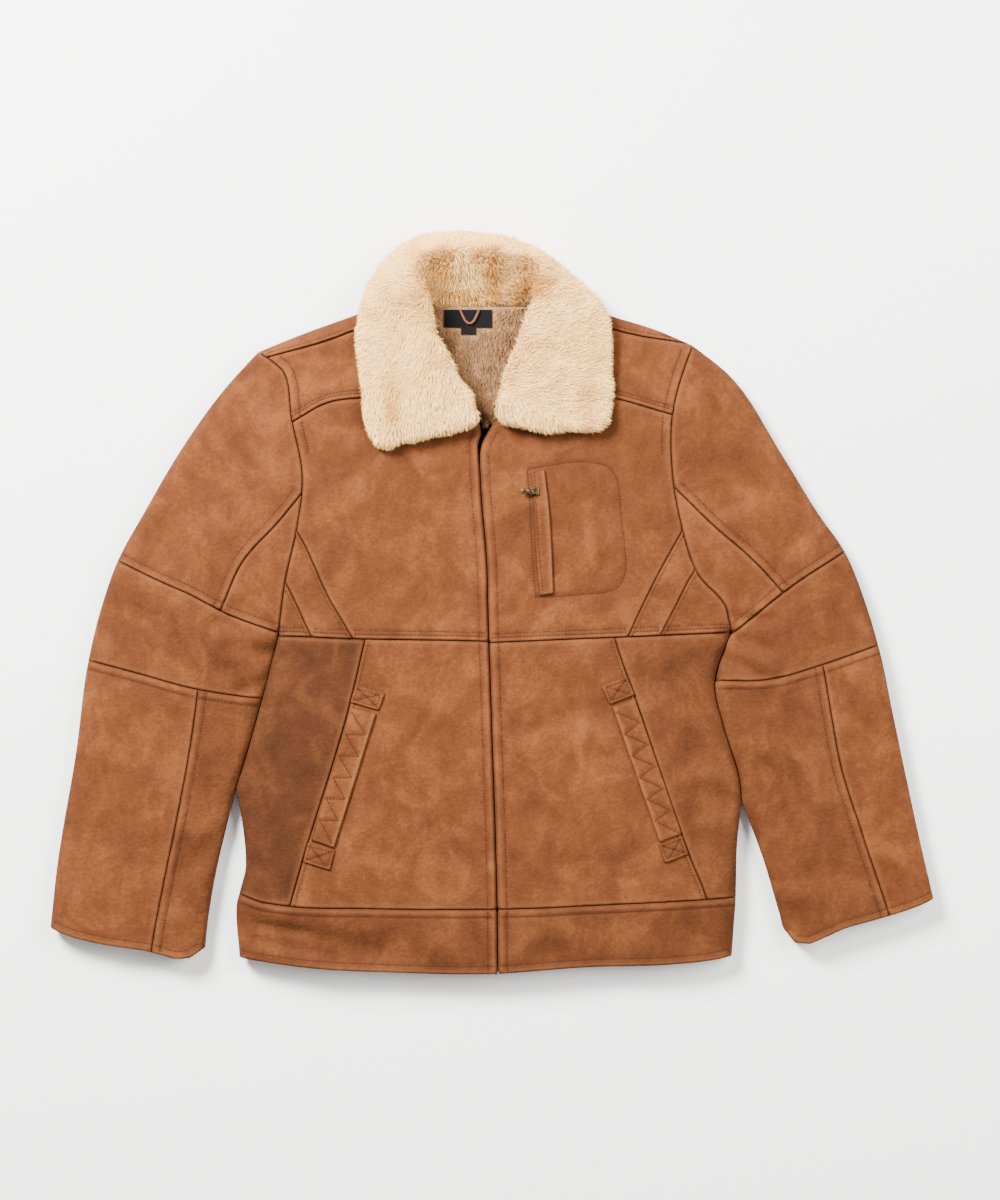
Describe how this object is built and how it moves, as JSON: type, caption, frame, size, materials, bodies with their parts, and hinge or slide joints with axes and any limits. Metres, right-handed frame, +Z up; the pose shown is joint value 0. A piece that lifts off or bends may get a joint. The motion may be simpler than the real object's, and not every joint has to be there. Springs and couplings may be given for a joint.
{
  "type": "shearling jacket",
  "caption": "Suede shearling jacket with a wide fur collar, zipped up and laid flat on its back, with welt pockets and panelled sleeves.",
  "frame": {"origin": "on the surface that the jacket lies on, below the middle of its box", "axes": "+X to the wearer's left, +Y from the hem to the collar, +Z up from the surface"},
  "size_m": [0.9553, 0.8043, 0.0597],
  "materials": {
    "suede": "napped suede, matt",
    "trim_suede": "napped suede, stitched",
    "fur": "dense cream pile",
    "pile": "short taupe pile",
    "zip_metal": "darkened brass",
    "zip_tape": "woven tape",
    "thread": "twisted sewing thread",
    "label": "woven, bare",
    "loop_leather": "smooth tan leather"
  },
  "bodies": {
    "jacket": {"back_hem_band": "suede", "back_left": "suede", "back_right": "suede", "chest_pocket_welt": "trim_suede", "chest_zip_slider": "zip_metal", "collar": "fur", "front_chest_left": "suede", "front_chest_right": "suede", "front_chest_strip_left": "suede", "front_chest_strip_right": "suede", "front_hem_band_left": "suede", "front_hem_band_right": "suede", "front_lower_front_left": "suede", "front_lower_front_right": "suede", "front_lower_side_left": "suede", "front_lower_side_right": "suede", "front_underarm_left": "suede", "front_underarm_right": "suede", "front_yoke_left": "suede", "front_yoke_right": "suede", "front_zip_chain": "zip_metal", "front_zip_slider": "zip_metal", "front_zip_tape": "zip_tape", "hanger_loop": "loop_leather", "neck_label": "label", "pocket_tab_lower_left": "trim_suede", "pocket_tab_lower_right": "trim_suede", "pocket_tab_upper_left": "trim_suede", "pocket_tab_upper_right": "trim_suede", "pocket_welt_left": "trim_suede", "pocket_welt_right": "trim_suede", "size_tag": "label", "sleeve_back_elbow_left": "suede", "sleeve_back_elbow_right": "suede", "sleeve_back_forearm_left": "suede", "sleeve_back_forearm_right": "suede", "sleeve_back_upper_left": "suede", "sleeve_back_upper_right": "suede", "sleeve_elbow_left": "suede", "sleeve_elbow_right": "suede", "sleeve_forearm_outer_left": "suede", "sleeve_forearm_outer_right": "suede", "sleeve_forearm_under_left": "suede", "sleeve_forearm_under_right": "suede", "sleeve_upper_outer_left": "suede", "sleeve_upper_outer_right": "suede", "sleeve_upper_under_left": "suede", "sleeve_upper_under_right": "suede"},
    "pull_tab": {"chest_zip_pull": "zip_metal"}
  },
  "joints": [
    {"name": "pull_tab_hinge", "type": "hinge", "parent": "jacket", "child": "pull_tab", "pos_m": [0.0446, 0.118, 0.0356], "axis": [0, 1, 0], "range_deg": [0, 90]}
  ]
}
